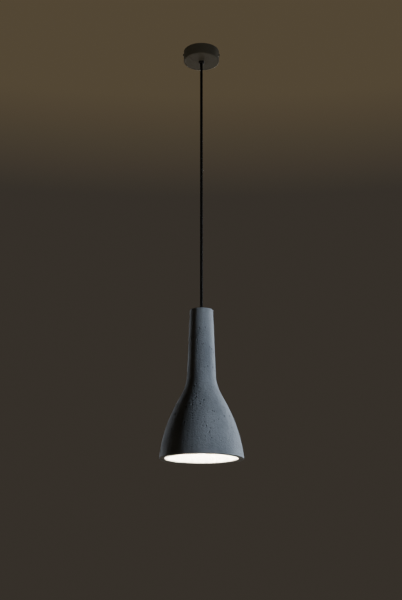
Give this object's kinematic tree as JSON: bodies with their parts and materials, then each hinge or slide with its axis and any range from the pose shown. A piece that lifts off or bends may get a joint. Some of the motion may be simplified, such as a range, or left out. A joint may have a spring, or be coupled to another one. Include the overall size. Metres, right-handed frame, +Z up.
{
  "type": "pendant ceiling light",
  "caption": "Concrete pendant light: bottle-necked bell shade on a straight textile cord from a round metal ceiling rose, with screw-in bulb.",
  "frame": {"origin": "centre of the mounting bracket's top face, on the ceiling plane, on the lamp's vertical axis", "axes": "+Z up, out of the ceiling face; +X along the bracket, through the rose's two side screws; the lamp hangs along -Z"},
  "size_m": [0.1726, 0.1726, 0.925],
  "materials": {
    "concrete": "fine cast concrete, matt, small air pits, blue-grey",
    "rose_paint": "satin dark grey lacquer on spun steel",
    "blackened_steel": "blackened side screws",
    "zinc_steel": "bright zinc plate",
    "white_polyamide": "moulded, translucent white",
    "brass": "turned, bright",
    "tinned_copper": "tinned",
    "earth_insulation": "green and yellow striped",
    "live_insulation": "brown",
    "neutral_insulation": "blue",
    "black_nylon": "moulded, fine texture",
    "textile_cord": "braided black textile over two cores",
    "phenolic": "moulded, satin black",
    "steatite": "unglazed, off-white",
    "rubber": "matt black",
    "solder": "worn solder",
    "cap_insulator": "black glass-like moulding",
    "nickel_cap": "nickel plated, knuckle thread",
    "bulb_plastic": "smooth white",
    "opal_globe": "opal, lit from inside",
    "led_board_aluminium": "white solder mask on aluminium",
    "led_phosphor": "yellow phosphor",
    "circuit_board": "green solder mask",
    "driver_cases": "moulded cases"
  },
  "bodies": {
    "bracket": {"mounting_bracket": "zinc_steel"},
    "canopy": {"canopy_cup": "rose_paint", "canopy_screws": "blackened_steel", "canopy_nuts": "zinc_steel", "terminal_block": "white_polyamide", "terminal_inserts": "brass", "terminal_screws": "zinc_steel", "earth_stud": "brass", "earth_lug": "tinned_copper", "earth_nut": "brass", "earth_lead": "earth_insulation", "cord_grip": "black_nylon", "cord_grip_nut": "black_nylon", "cord_grip_screw": "zinc_steel", "cord_upper": "textile_cord", "live_lead_top": "live_insulation", "neutral_lead_top": "neutral_insulation"},
    "cord_pivot": {"cord_bend": "textile_cord"},
    "suspension": {"cord": "textile_cord", "cord_lower": "textile_cord", "threaded_tube": "zinc_steel", "tube_bushing": "black_nylon", "support_washer": "zinc_steel", "carrier_nut": "zinc_steel", "lock_nut": "zinc_steel", "cord_stop": "brass", "cord_stop_screw": "zinc_steel", "holder_cap": "phenolic", "holder_cap_screw": "zinc_steel", "holder_shell": "phenolic", "holder_core": "steatite", "centre_contact": "brass", "screw_shell": "brass", "holder_terminals": "brass", "holder_terminal_screws": "zinc_steel", "live_lead_bottom": "live_insulation", "neutral_lead_bottom": "neutral_insulation"},
    "seat": {"rubber_washer": "rubber"},
    "shade": {"shade": "concrete"},
    "bulb_carrier": {"bulb_contact": "solder"},
    "bulb": {"bulb_insulator": "cap_insulator", "bulb_cap": "nickel_cap", "bulb_housing": "bulb_plastic", "bulb_globe": "opal_globe", "led_board": "led_board_aluminium", "led_chips": "led_phosphor", "driver_board": "circuit_board", "driver_parts": "driver_cases"}
  },
  "joints": [
    {"name": "canopy_drop", "type": "slide", "parent": "bracket", "child": "canopy", "axis": [0, 0, -1], "range_m": [0, 0.05]},
    {"name": "swing_front", "type": "hinge", "parent": "canopy", "child": "cord_pivot", "pos_m": [0, 0, -0.0308], "axis": [1, 0, 0], "range_deg": [-30, 30]},
    {"name": "swing_side", "type": "hinge", "parent": "cord_pivot", "child": "suspension", "pos_m": [0, 0, -0.0308], "axis": [0, 1, 0], "range_deg": [-30, 30]},
    {"name": "shade_spin", "type": "hinge", "parent": "suspension", "child": "seat", "pos_m": [0, 0, -0.627], "axis": [0, 0, 1], "continuous": true},
    {"name": "shade_lift", "type": "slide", "parent": "seat", "child": "shade", "axis": [0, 0, 1], "range_m": [0, 0.5]},
    {"name": "bulb_travel", "type": "slide", "parent": "suspension", "child": "bulb_carrier", "axis": [0, 0, -1], "range_m": [0, 0.01814]},
    {"name": "bulb_turn", "type": "hinge", "parent": "bulb_carrier", "child": "bulb", "pos_m": [0, 0, -0.8], "axis": [0, 0, -1], "range_deg": [0, 1800]}
  ],
  "couplings": [
    {"joint": "bulb_turn", "follows": "bulb_travel", "rad_per_m": 1731.4}
  ]
}
